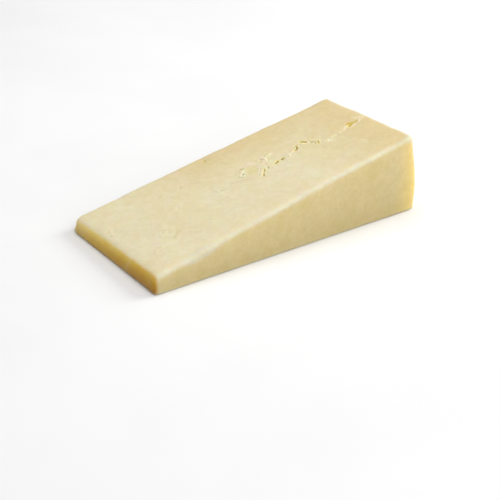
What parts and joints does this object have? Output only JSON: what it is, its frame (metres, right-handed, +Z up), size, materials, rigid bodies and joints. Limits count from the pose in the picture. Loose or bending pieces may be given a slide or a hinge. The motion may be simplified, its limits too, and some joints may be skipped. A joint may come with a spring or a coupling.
{
  "type": "cheddar block",
  "caption": "Wedge-shaped block of pale cheddar without rind: sloping top with a crumbly fissure, thick squared end, thin blunt tip and flat base to rest on",
  "frame": {"origin": "centre of the bounding box of the base, on the surface that the cheese rests on", "axes": "+X runs along the length to the thick end, +Y from the long front face to the back face, +Z up"},
  "size_m": [0.1658, 0.0784, 0.0405],
  "materials": {
    "cheddar": "satin cut cheese, pale yellow, a little waxy"
  },
  "bodies": {
    "root": {"cheddar_wedge": "cheddar"}
  },
  "joints": []
}
